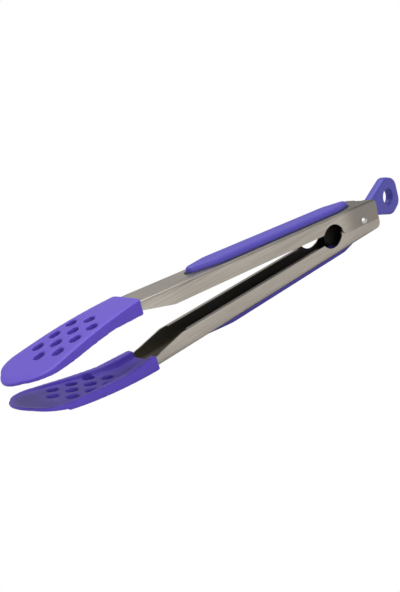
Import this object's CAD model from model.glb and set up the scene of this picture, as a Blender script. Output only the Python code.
"""Spring loaded kitchen tongs: steel arms, silicone heads and grips, pull ring lock."""

import bpy
import bmesh
import math
from mathutils import Matrix, Vector
from mathutils.geometry import convex_hull_2d


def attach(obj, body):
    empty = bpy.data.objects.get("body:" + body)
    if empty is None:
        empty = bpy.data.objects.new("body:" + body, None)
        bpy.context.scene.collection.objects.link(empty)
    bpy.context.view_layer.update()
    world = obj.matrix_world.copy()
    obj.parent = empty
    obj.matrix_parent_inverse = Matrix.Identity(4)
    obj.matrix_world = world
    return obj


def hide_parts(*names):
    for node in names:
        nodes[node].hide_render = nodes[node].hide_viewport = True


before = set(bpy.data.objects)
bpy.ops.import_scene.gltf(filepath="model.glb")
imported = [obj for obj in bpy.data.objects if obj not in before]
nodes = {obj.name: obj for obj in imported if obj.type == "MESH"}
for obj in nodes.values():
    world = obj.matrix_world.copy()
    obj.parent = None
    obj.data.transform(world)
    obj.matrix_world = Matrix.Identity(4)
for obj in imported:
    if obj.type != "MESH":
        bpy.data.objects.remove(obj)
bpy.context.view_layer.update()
scene = bpy.context.scene

# ---------------------------------------------------------------- camera
# A view from the tips' end and the near side, a little above, with the tips
# low on the left and the ring high on the right.

camera_data = bpy.data.cameras.new("camera")
camera_data.sensor_fit = "HORIZONTAL"
camera_data.sensor_width = 36.0
camera_data.lens = 62.1
camera_data.clip_start = 0.01
camera_data.clip_end = 20.0
camera = bpy.data.objects.new("camera", camera_data)
scene.collection.objects.link(camera)
camera.matrix_world = Matrix((
    (-0.70659, -0.40662, 0.57913, 0.2555),
    (0.65354, -0.06117, 0.75442, 0.28395),
    (-0.27134, 0.91155, 0.30897, 0.13786),
    (0.0, 0.0, 0.0, 1.0),
))
scene.camera = camera

# ---------------------------------------------------------------- studio
# A white floor that shows no shadow, a pale surround, and two large soft
# lights: one over the tongs and one on the near side.

scene.view_settings.view_transform = "Standard"

world = bpy.data.worlds.new("surround")
scene.world = world
world.use_nodes = True
tree = world.node_tree
tree.nodes.clear()
out = tree.nodes.new("ShaderNodeOutputWorld")
seen = tree.nodes.new("ShaderNodeBackground")
seen.inputs["Color"].default_value = (1.0, 1.0, 1.0, 1.0)
seen.inputs["Strength"].default_value = 1.0
lit = tree.nodes.new("ShaderNodeBackground")
lit.inputs["Color"].default_value = (0.97, 0.98, 1.0, 1.0)
lit.inputs["Strength"].default_value = 0.4
path = tree.nodes.new("ShaderNodeLightPath")
pick = tree.nodes.new("ShaderNodeMixShader")
tree.links.new(path.outputs["Is Camera Ray"], pick.inputs["Fac"])
tree.links.new(lit.outputs["Background"], pick.inputs[1])
tree.links.new(seen.outputs["Background"], pick.inputs[2])
tree.links.new(pick.outputs["Shader"], out.inputs["Surface"])

floor_mesh = bpy.data.meshes.new("floor")
floor_half, floor_z = 3.0, -0.0005
floor_mesh.from_pydata(
    [(x * floor_half, y * floor_half, floor_z) for x, y in ((-1, -1), (1, -1), (1, 1), (-1, 1))],
    [], [(0, 1, 2, 3)])
floor = bpy.data.objects.new("floor", floor_mesh)
scene.collection.objects.link(floor)
floor_paint = bpy.data.materials.new("floor_white")
floor_paint.use_nodes = True
tree = floor_paint.node_tree
tree.nodes.clear()
out = tree.nodes.new("ShaderNodeOutputMaterial")
shown = tree.nodes.new("ShaderNodeEmission")
shown.inputs["Color"].default_value = (1.0, 1.0, 1.0, 1.0)
shown.inputs["Strength"].default_value = 1.0
matte = tree.nodes.new("ShaderNodeBsdfDiffuse")
matte.inputs["Color"].default_value = (0.6, 0.6, 0.6, 1.0)
path = tree.nodes.new("ShaderNodeLightPath")
pick = tree.nodes.new("ShaderNodeMixShader")
tree.links.new(path.outputs["Is Camera Ray"], pick.inputs["Fac"])
tree.links.new(matte.outputs["BSDF"], pick.inputs[1])
tree.links.new(shown.outputs["Emission"], pick.inputs[2])
tree.links.new(pick.outputs["Shader"], out.inputs["Surface"])
floor_mesh.materials.append(floor_paint)


def soft_light(name, place, aim, size, power, colour):
    """A square soft box that faces a point."""
    data = bpy.data.lights.new(name, "AREA")
    data.shape = "SQUARE"
    data.size = size
    data.energy = power
    data.color = colour
    light = bpy.data.objects.new(name, data)
    light.matrix_world = (Vector(aim) - Vector(place)).to_track_quat("-Z", "Y").to_matrix().to_4x4()
    light.location = place
    scene.collection.objects.link(light)


soft_light("over", (-0.05, -0.15, 0.95), (0.0, 0.0, 0.0), 0.8, 10.0, (1.0, 0.99, 0.97))
soft_light("near", (0.2, 1.1, 0.3), (0.0, 0.0, 0.0), 1.3, 9.0, (1.0, 1.0, 1.0))

# ---------------------------------------------------------------- arms
# Two folded stainless channels. The metal has a fine grain along the arm,
# a slow cloudy change of tone, a duller inside and a rubbed patch at the rivet.


def new_group(name, inputs, outputs):
    """An empty shader node group with its sockets, and its two end nodes."""
    group = bpy.data.node_groups.new(name, "ShaderNodeTree")
    for label, kind, value in inputs:
        socket = group.interface.new_socket(label, in_out="INPUT", socket_type=kind)
        socket.default_value = value
    for label, kind in outputs:
        group.interface.new_socket(label, in_out="OUTPUT", socket_type=kind)
    return group, group.nodes.new("NodeGroupInput"), group.nodes.new("NodeGroupOutput")


grain, start, end = new_group(
    "brushed_grain",
    [("Tone", "NodeSocketColor", (0.4, 0.38, 0.35, 1.0)),
     ("Shade", "NodeSocketColor", (0.3, 0.28, 0.26, 1.0)),
     ("Polish", "NodeSocketFloat", 0.36), ("Lines", "NodeSocketFloat", 900.0)],
    [("Color", "NodeSocketColor"), ("Roughness", "NodeSocketFloat"), ("Normal", "NodeSocketVector")])
where = grain.nodes.new("ShaderNodeTexCoord")
across = grain.nodes.new("ShaderNodeCombineXYZ")
across.inputs["X"].default_value = 30.0
grain.links.new(start.outputs["Lines"], across.inputs["Y"])
grain.links.new(start.outputs["Lines"], across.inputs["Z"])
stretch = grain.nodes.new("ShaderNodeVectorMath")
stretch.operation = "MULTIPLY"
grain.links.new(where.outputs["Object"], stretch.inputs[0])
grain.links.new(across.outputs["Vector"], stretch.inputs[1])
hairs = grain.nodes.new("ShaderNodeTexNoise")
hairs.inputs["Scale"].default_value = 1.0
hairs.inputs["Detail"].default_value = 4.0
grain.links.new(stretch.outputs["Vector"], hairs.inputs["Vector"])
cloud = grain.nodes.new("ShaderNodeTexNoise")
cloud.inputs["Scale"].default_value = 26.0
cloud.inputs["Detail"].default_value = 2.0
grain.links.new(where.outputs["Object"], cloud.inputs["Vector"])
both = grain.nodes.new("ShaderNodeMath")
both.operation = "MULTIPLY_ADD"
grain.links.new(cloud.outputs["Fac"], both.inputs[0])
both.inputs[1].default_value = 0.5
grain.links.new(hairs.outputs["Fac"], both.inputs[2])
spread = grain.nodes.new("ShaderNodeMapRange")
spread.inputs["From Min"].default_value = 0.5
spread.inputs["From Max"].default_value = 1.0
grain.links.new(both.outputs["Value"], spread.inputs["Value"])
tone = grain.nodes.new("ShaderNodeMix")
tone.data_type = "RGBA"
grain.links.new(spread.outputs["Result"], tone.inputs["Factor"])
grain.links.new(start.outputs["Shade"], tone.inputs["A"])
grain.links.new(start.outputs["Tone"], tone.inputs["B"])
grain.links.new(tone.outputs["Result"], end.inputs["Color"])
polish = grain.nodes.new("ShaderNodeMath")
polish.operation = "MULTIPLY_ADD"
grain.links.new(hairs.outputs["Fac"], polish.inputs[0])
polish.inputs[1].default_value = 0.14
grain.links.new(start.outputs["Polish"], polish.inputs[2])
grain.links.new(polish.outputs["Value"], end.inputs["Roughness"])
ridge = grain.nodes.new("ShaderNodeBump")
ridge.inputs["Strength"].default_value = 0.25
ridge.inputs["Distance"].default_value = 0.00006
grain.links.new(hairs.outputs["Fac"], ridge.inputs["Height"])
grain.links.new(ridge.outputs["Normal"], end.inputs["Normal"])


def metal(name, tone, shade, polish, lines, stretch_of_gloss=0.0):
    """A metal whose colour, polish and bump come from the brushed grain."""
    paint = bpy.data.materials.new(name)
    paint.use_nodes = True
    tree = paint.node_tree
    shader = tree.nodes["Principled BSDF"]
    shader.inputs["Metallic"].default_value = 1.0
    shader.inputs["Anisotropic"].default_value = stretch_of_gloss
    effect = tree.nodes.new("ShaderNodeGroup")
    effect.node_tree = grain
    effect.inputs["Tone"].default_value = (*tone, 1.0)
    effect.inputs["Shade"].default_value = (*shade, 1.0)
    effect.inputs["Polish"].default_value = polish
    effect.inputs["Lines"].default_value = lines
    tree.links.new(effect.outputs["Color"], shader.inputs["Base Color"])
    tree.links.new(effect.outputs["Roughness"], shader.inputs["Roughness"])
    tree.links.new(effect.outputs["Normal"], shader.inputs["Normal"])
    return paint


def coat(obj, paint):
    """Gives an object one material."""
    obj.data.materials.clear()
    obj.data.materials.append(paint)


inner, start, end = new_group(
    "channel_inside",
    [("Height", "NodeSocketFloat", 0.0), ("Slope", "NodeSocketFloat", 0.0)],
    [("Inside", "NodeSocketFloat")])
where = inner.nodes.new("ShaderNodeTexCoord")
place = inner.nodes.new("ShaderNodeSeparateXYZ")
inner.links.new(where.outputs["Object"], place.inputs["Vector"])
rise = inner.nodes.new("ShaderNodeMath")
rise.operation = "MULTIPLY_ADD"
inner.links.new(place.outputs["X"], rise.inputs[0])
inner.links.new(start.outputs["Slope"], rise.inputs[1])
inner.links.new(start.outputs["Height"], rise.inputs[2])
off = inner.nodes.new("ShaderNodeMath")
off.operation = "SUBTRACT"
inner.links.new(place.outputs["Z"], off.inputs[0])
inner.links.new(rise.outputs["Value"], off.inputs[1])
from_axis = inner.nodes.new("ShaderNodeCombineXYZ")
inner.links.new(place.outputs["Y"], from_axis.inputs["Y"])
inner.links.new(off.outputs["Value"], from_axis.inputs["Z"])
facing = inner.nodes.new("ShaderNodeVectorMath")
facing.operation = "DOT_PRODUCT"
inner.links.new(from_axis.outputs["Vector"], facing.inputs[0])
inner.links.new(where.outputs["Normal"], facing.inputs[1])
step = inner.nodes.new("ShaderNodeMath")
step.operation = "LESS_THAN"
step.inputs[1].default_value = -0.0005
inner.links.new(facing.outputs["Value"], step.inputs[0])
inner.links.new(step.outputs["Value"], end.inputs["Inside"])

upper_slope = 0.0757
channel_lines = {"lower": (0.0098, 0.0), "upper": (0.0194 + 0.1015 * upper_slope, upper_slope)}
rubbed_middle, rubbed_from, rubbed_to = (-0.1045, 0.0, 0.0175), 0.0145, 0.031
rubbed_share = {"lower": 0.25, "upper": 0.8}
dull_inside, rubbed_tone = (0.19, 0.175, 0.14, 1.0), (0.22, 0.2, 0.175, 1.0)
for side, (height, slope) in channel_lines.items():
    arm_steel = metal(side + "_arm_steel", (0.56, 0.515, 0.455), (0.4, 0.365, 0.32), 0.3, 1400.0)
    tree = arm_steel.node_tree
    shader = tree.nodes["Principled BSDF"]
    brushed = shader.inputs["Base Color"].links[0].from_socket
    mask = tree.nodes.new("ShaderNodeGroup")
    mask.node_tree = inner
    mask.inputs["Height"].default_value = height
    mask.inputs["Slope"].default_value = slope
    dull = tree.nodes.new("ShaderNodeMix")
    dull.data_type = "RGBA"
    dull.inputs["B"].default_value = dull_inside
    tree.links.new(mask.outputs["Inside"], dull.inputs["Factor"])
    tree.links.new(brushed, dull.inputs["A"])
    where = tree.nodes.new("ShaderNodeTexCoord")
    distance = tree.nodes.new("ShaderNodeVectorMath")
    distance.operation = "DISTANCE"
    distance.inputs[1].default_value = rubbed_middle
    tree.links.new(where.outputs["Object"], distance.inputs[0])
    rubbed = tree.nodes.new("ShaderNodeMapRange")
    rubbed.interpolation_type = "SMOOTHSTEP"
    rubbed.inputs["From Min"].default_value = rubbed_from
    rubbed.inputs["From Max"].default_value = rubbed_to
    rubbed.inputs["To Min"].default_value = rubbed_share[side]
    rubbed.inputs["To Max"].default_value = 0.0
    tree.links.new(distance.outputs["Value"], rubbed.inputs["Value"])
    worn = tree.nodes.new("ShaderNodeMix")
    worn.data_type = "RGBA"
    worn.inputs["B"].default_value = rubbed_tone
    tree.links.new(rubbed.outputs["Result"], worn.inputs["Factor"])
    tree.links.new(dull.outputs["Result"], worn.inputs["A"])
    tree.links.new(worn.outputs["Result"], shader.inputs["Base Color"])
    coat(nodes[side + "_arm"], arm_steel)

# ---------------------------------------------------------------- rivet, sleeve and spring
# The cross rivet's turned heads, the spacer tube on it and the drawn wire
# of the torsion spring.

rivet_steel = metal("rivet_steel", (0.62, 0.60, 0.57), (0.5, 0.48, 0.45), 0.22, 600.0)
coat(nodes["pivot_rivet"], rivet_steel)
coat(nodes["pivot_sleeve"], rivet_steel)
spring_wire = metal("spring_wire", (0.5, 0.5, 0.5), (0.38, 0.38, 0.39), 0.25, 1500.0)
coat(nodes["torsion_spring"], spring_wire)

# ---------------------------------------------------------------- lock plate, carriers and cores
# Dark moulded nylon with a fine spark-eroded texture: navy inside the grips
# and heads, near black for the lock plate. Steel rivets hold the cores.

skin, start, end = new_group(
    "moulded_skin",
    [("Tone", "NodeSocketColor", (0.1, 0.1, 0.1, 1.0)),
     ("Shade", "NodeSocketColor", (0.05, 0.05, 0.05, 1.0)),
     ("Matt", "NodeSocketFloat", 0.45), ("Grain", "NodeSocketFloat", 2200.0),
     ("Depth", "NodeSocketFloat", 0.00003)],
    [("Color", "NodeSocketColor"), ("Roughness", "NodeSocketFloat"), ("Normal", "NodeSocketVector")])
where = skin.nodes.new("ShaderNodeTexCoord")
fine = skin.nodes.new("ShaderNodeTexNoise")
fine.inputs["Detail"].default_value = 2.0
skin.links.new(where.outputs["Object"], fine.inputs["Vector"])
skin.links.new(start.outputs["Grain"], fine.inputs["Scale"])
slow = skin.nodes.new("ShaderNodeTexNoise")
slow.inputs["Scale"].default_value = 45.0
slow.inputs["Detail"].default_value = 3.0
skin.links.new(where.outputs["Object"], slow.inputs["Vector"])
tone = skin.nodes.new("ShaderNodeMix")
tone.data_type = "RGBA"
skin.links.new(slow.outputs["Fac"], tone.inputs["Factor"])
skin.links.new(start.outputs["Shade"], tone.inputs["A"])
skin.links.new(start.outputs["Tone"], tone.inputs["B"])
skin.links.new(tone.outputs["Result"], end.inputs["Color"])
matt = skin.nodes.new("ShaderNodeMath")
matt.operation = "MULTIPLY_ADD"
skin.links.new(fine.outputs["Fac"], matt.inputs[0])
matt.inputs[1].default_value = 0.1
skin.links.new(start.outputs["Matt"], matt.inputs[2])
skin.links.new(matt.outputs["Value"], end.inputs["Roughness"])
dimple = skin.nodes.new("ShaderNodeBump")
dimple.inputs["Strength"].default_value = 0.35
skin.links.new(start.outputs["Depth"], dimple.inputs["Distance"])
skin.links.new(fine.outputs["Fac"], dimple.inputs["Height"])
skin.links.new(dimple.outputs["Normal"], end.inputs["Normal"])


def moulding(name, tone, shade, matt, grain_scale, depth, haze=0.0):
    """A moulded plastic or rubber whose tone, gloss and bump come from the moulded skin."""
    paint = bpy.data.materials.new(name)
    paint.use_nodes = True
    tree = paint.node_tree
    shader = tree.nodes["Principled BSDF"]
    shader.inputs["IOR"].default_value = 1.43
    shader.inputs["Sheen Weight"].default_value = haze
    shader.inputs["Sheen Roughness"].default_value = 0.5
    shader.inputs["Sheen Tint"].default_value = (0.75, 0.72, 1.0, 1.0)
    effect = tree.nodes.new("ShaderNodeGroup")
    effect.node_tree = skin
    effect.inputs["Tone"].default_value = (*tone, 1.0)
    effect.inputs["Shade"].default_value = (*shade, 1.0)
    effect.inputs["Matt"].default_value = matt
    effect.inputs["Grain"].default_value = grain_scale
    effect.inputs["Depth"].default_value = depth
    tree.links.new(effect.outputs["Color"], shader.inputs["Base Color"])
    tree.links.new(effect.outputs["Roughness"], shader.inputs["Roughness"])
    tree.links.new(effect.outputs["Normal"], shader.inputs["Normal"])
    return paint


dark_nylon = moulding("dark_nylon", (0.014, 0.016, 0.05), (0.009, 0.01, 0.034), 0.4, 3000.0, 0.00002)
plate_nylon = moulding("plate_nylon", (0.02, 0.018, 0.015), (0.012, 0.011, 0.01), 0.4, 3000.0, 0.00002)
coat(nodes["lock_plate"], plate_nylon)
for name in ("lower_grip_carrier", "upper_grip_carrier", "lower_head_core", "upper_head_core"):
    coat(nodes[name], dark_nylon)
for name in ("lower_core_rivets", "upper_core_rivets"):
    coat(nodes[name], rivet_steel)

# ---------------------------------------------------------------- pull ring
# A thick plastic ring moulded over the tail of the lock plate, with softly
# rounded edges, a shade greyer than the silicone.


def softened(node, name, voxel, passes):
    """A copy of a hard edged solid with every edge rounded as a rubber moulding's is."""
    mesh = nodes[node].data.copy()
    knit = bmesh.new()
    knit.from_mesh(mesh)
    bmesh.ops.remove_doubles(knit, verts=knit.verts, dist=1e-6)
    knit.to_mesh(mesh)
    knit.free()
    rough = bpy.data.objects.new(name + "_rough", mesh)
    scene.collection.objects.link(rough)
    shell = rough.modifiers.new("shell", "REMESH")
    shell.mode = "VOXEL"
    shell.voxel_size = voxel
    ease = rough.modifiers.new("ease", "SMOOTH")
    ease.factor = 0.5
    ease.iterations = passes
    ready = rough.evaluated_get(bpy.context.evaluated_depsgraph_get())
    smooth = bpy.data.meshes.new_from_object(ready)
    smooth.name = name
    bpy.data.objects.remove(rough)
    smooth.polygons.foreach_set("use_smooth", [True] * len(smooth.polygons))
    piece = bpy.data.objects.new(name, smooth)
    scene.collection.objects.link(piece)
    return piece


ring_plastic = moulding("ring_plastic", (0.068, 0.062, 0.37), (0.056, 0.05, 0.32), 0.42, 2600.0, 0.00003, 0.04)
ring = softened("pull_ring", "ring_soft", 0.0003, 30)
coat(ring, ring_plastic)
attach(ring, "lock")
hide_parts("pull_ring")

# ---------------------------------------------------------------- grips
# Long soft pads that stand a little proud of the webs, each in a thin navy
# surround.

silicone = moulding("silicone", (0.085, 0.042, 0.45), (0.07, 0.033, 0.4), 0.42, 2400.0, 0.00004, 0.22)
grip_silicone = moulding(
    "grip_silicone", (0.075, 0.056, 0.38), (0.062, 0.046, 0.34), 0.46, 2600.0, 0.00004, 0.06)
navy = moulding("navy_surround", (0.01, 0.012, 0.035), (0.007, 0.009, 0.025), 0.45, 3000.0, 0.00002)
pivot = Vector((-0.1015, 0.0, 0.0146))
arm_turns = {
    "lower": Matrix.Rotation(math.pi, 4, "X"),
    "upper": Matrix.Rotation(-math.radians(4.33), 4, "Y"),
}
# how far each corner of the surround's section is from the pad, and its height over the arm's axis
surround_section = (
    (-0.0004, 0.0106), (-0.0004, 0.01125), (0.0007, 0.0113), (0.0012, 0.01105), (0.00125, 0.0106),
)
for side, turn in arm_turns.items():
    pad = softened(side + "_grip", side + "_grip_soft", 0.0004, 4)
    coat(pad, grip_silicone)
    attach(pad, side + "_arm")
    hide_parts(side + "_grip")
    to_row = Matrix.Translation(pivot) @ turn
    to_arm = to_row.inverted()
    flat = [(to_arm @ v.co).xy for v in nodes[side + "_grip"].data.vertices]
    rim = [flat[i] for i in convex_hull_2d(flat)]
    middle = sum(rim, Vector((0.0, 0.0))) / len(rim)
    bm = bmesh.new()
    rows = []
    for push, height in surround_section:
        row = []
        for before, here, after in zip(rim[-1:] + rim[:-1], rim, rim[1:] + rim[:1]):
            along = (after - before).normalized()
            out_way = Vector((along.y, -along.x))
            if out_way.dot(here - middle) < 0:
                out_way.negate()
            spot = here + out_way * push
            row.append(bm.verts.new(to_row @ Vector((spot.x, spot.y, height))))
        rows.append(row)
    for lower_row, upper_row in zip(rows, rows[1:] + rows[:1]):
        for i in range(len(rim)):
            j = (i + 1) % len(rim)
            bm.faces.new((lower_row[i], lower_row[j], upper_row[j], upper_row[i]))
    bmesh.ops.recalc_face_normals(bm, faces=bm.faces)
    mesh = bpy.data.meshes.new(side + "_grip_surround")
    bm.to_mesh(mesh)
    bm.free()
    surround = bpy.data.objects.new(side + "_grip_surround", mesh)
    scene.collection.objects.link(surround)
    coat(surround, navy)
    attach(surround, side + "_arm")

# ---------------------------------------------------------------- heads
# The silicone scoops: dished, with rows of drain holes, a raised rim and a
# collar over the front of the arm, all with soft moulded edges.

# the arc of a head's back, from the collar to the tip, in the arm's own frame
start, stop, bend = Vector((0.1854, 0.0125)), Vector((0.258, -0.0027)), 0.322
collar_end, head_middle = 0.187, 0.225
thin_from, thin_to, lift_from, lift_to = 0.228, 0.257, 0.238, 0.258
back_depth, edge_band = 0.0042, 0.006
chord = stop - start
down = Vector((chord.y, -chord.x)).normalized()
hub = (start + stop) / 2 + down * math.sqrt(bend ** 2 - (chord.length / 2) ** 2)


def ramp(value, low, high):
    """0 below low, 1 above high, with a smooth rise between."""
    t = min(max((value - low) / (high - low), 0.0), 1.0)
    return t * t * (3.0 - 2.0 * t)


def shape_scoop(piece, to_row, edge_drop, tip_drop, tip_share, tip_lift):
    """Rounds a scoop's back down towards its edge, and thins and lifts its tip."""
    to_arm = to_row.inverted()
    spots = [to_arm @ v.co for v in piece.data.vertices]
    flat = [spot.xy for spot in spots]
    rim = [flat[i] for i in convex_hull_2d(flat)]
    middle = Vector((head_middle, 0.0))
    sides = []
    for here, after in zip(rim, rim[1:] + rim[:1]):
        if min(here.x, after.x) > collar_end:
            along = (after - here).normalized()
            away = Vector((along.y, -along.x))
            sides.append((here, away if away.dot(middle - here) < 0 else -away))
    for vertex, spot in zip(piece.data.vertices, spots):
        inset = min((here - spot.xy).dot(away) for here, away in sides)
        back = hub.y + math.sqrt(bend ** 2 - (spot.x - hub.x) ** 2)
        tip = ramp(spot.x, thin_from, thin_to)
        deep = back - spot.z
        share = min(max(1.0 - deep / back_depth, 0.0), 1.0)
        near = min(max(1.0 - inset / edge_band, 0.0), 1.0)
        rounding = 1.0 - math.sqrt(1.0 - near ** 2)
        drop = (edge_drop + (tip_drop - edge_drop) * tip) * rounding * share
        lift = tip_lift * ramp(spot.x, lift_from, lift_to)
        spot.z = back - deep * (1.0 + (tip_share - 1.0) * tip) - drop + lift
        vertex.co = to_row @ spot


# edge drop, edge drop at the tip, share of the thickness left at the tip, tip lift
scoop_shapes = {"lower": (0.0011, 0.0021, 0.8, 0.0), "upper": (0.0009, 0.0006, 0.42, 0.0009)}
for side, turn in arm_turns.items():
    head = softened(side + "_head", side + "_head_soft", 0.0005, 9)
    shape_scoop(head, Matrix.Translation(pivot) @ turn, *scoop_shapes[side])
    coat(head, silicone)
    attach(head, side + "_arm")
    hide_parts(side + "_head")
